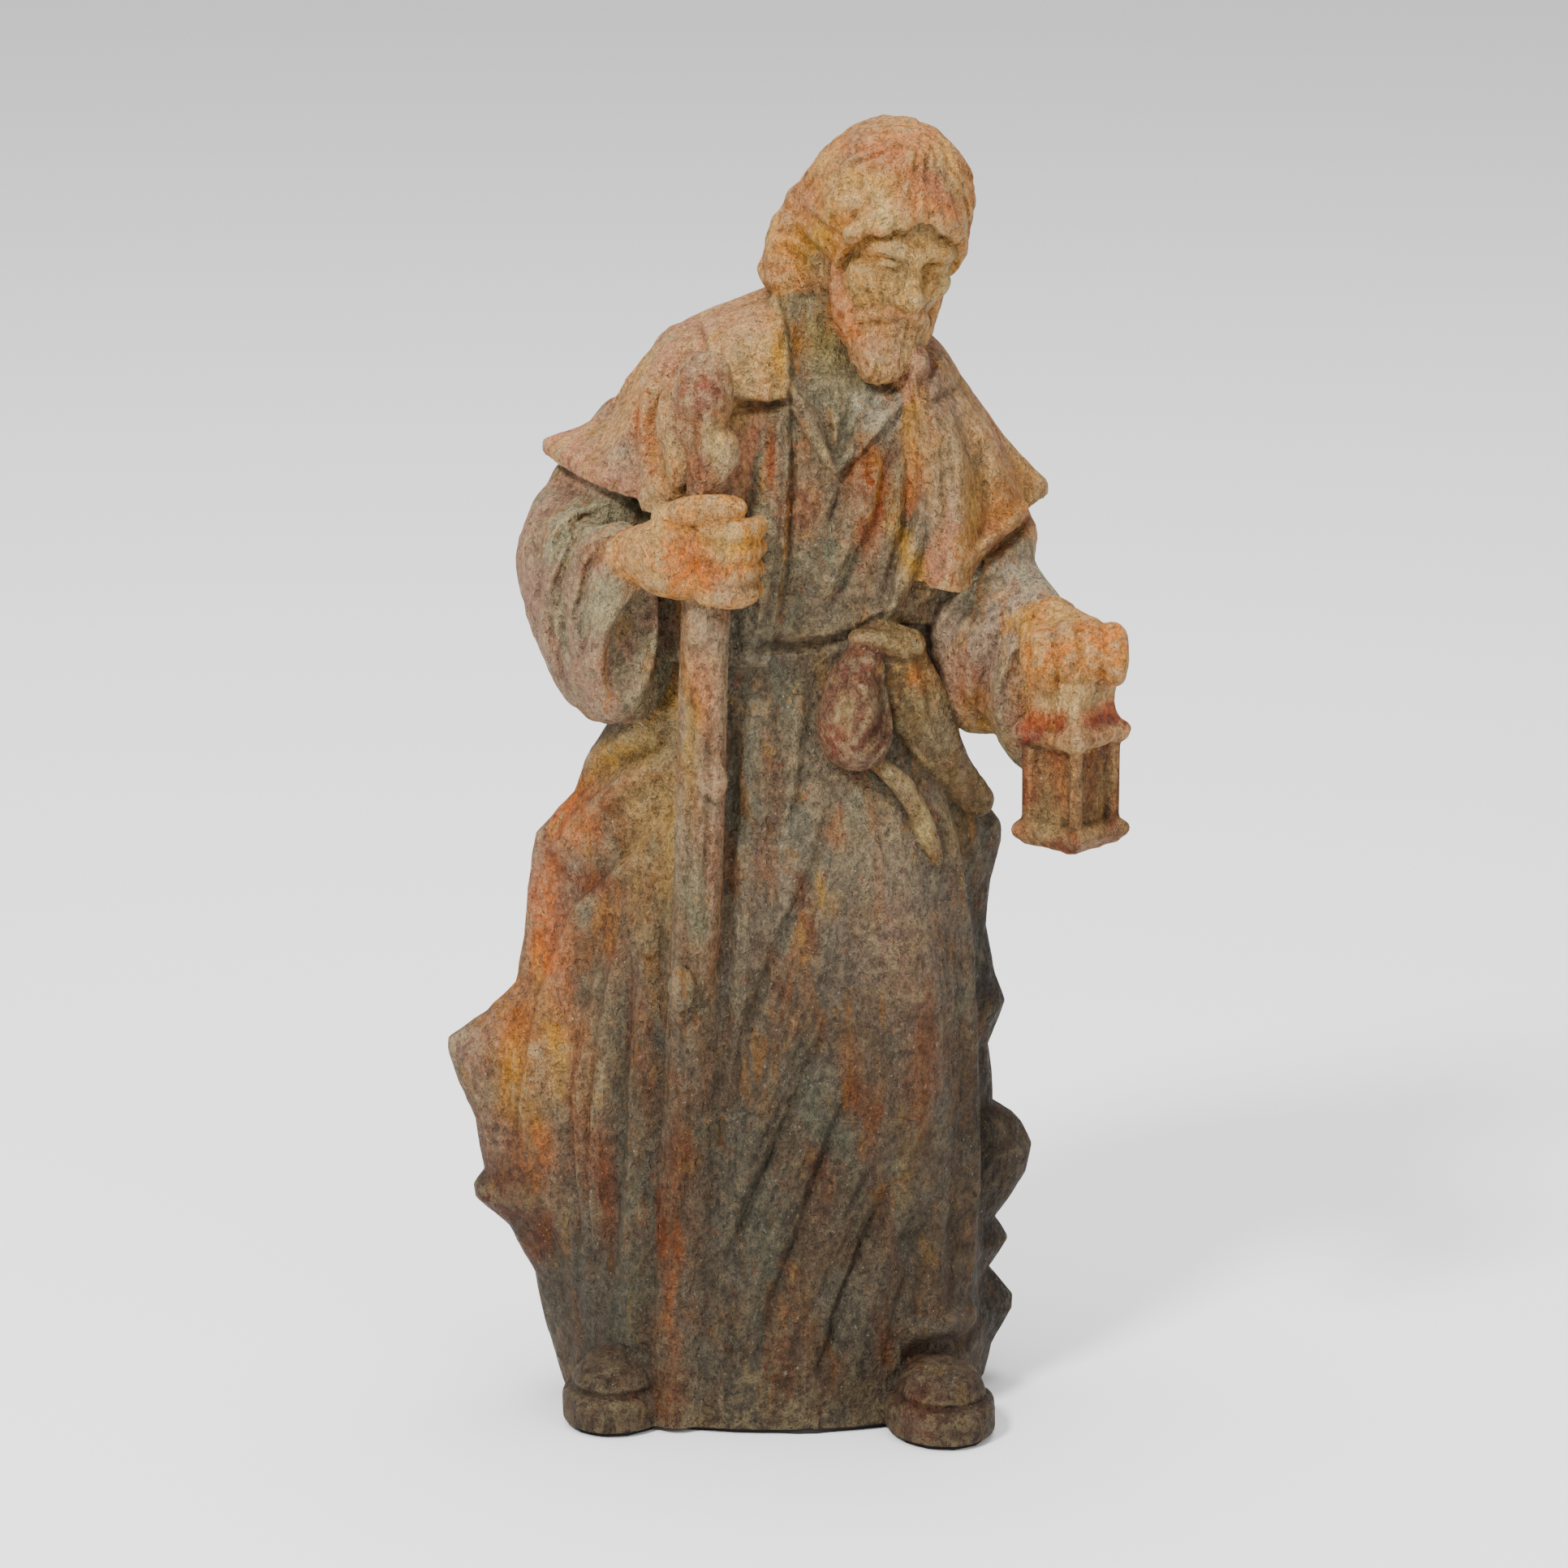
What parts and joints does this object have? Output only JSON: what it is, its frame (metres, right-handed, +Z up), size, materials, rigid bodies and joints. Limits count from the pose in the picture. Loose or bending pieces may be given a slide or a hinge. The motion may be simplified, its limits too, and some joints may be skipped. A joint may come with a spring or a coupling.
{
  "type": "presepe figure",
  "caption": "Painted cast figure of a standing, bearded man in a robe and short cape who leans on a staff and holds out a lantern, on a thin felt pad.",
  "frame": {"origin": "on the underside of the pad, under the middle of the robe's hem", "axes": "+Z up, -Y the way the figure faces, +X towards the figure's left hand and the lantern"},
  "size_m": [0.2053, 0.1169, 0.3967],
  "materials": {
    "painted_cast": "weathered earth-coloured paint on a brushed, pitted cast surface",
    "felt": "black felt"
  },
  "bodies": {
    "root": {"figure": "painted_cast", "base_pad": "felt"}
  },
  "joints": []
}
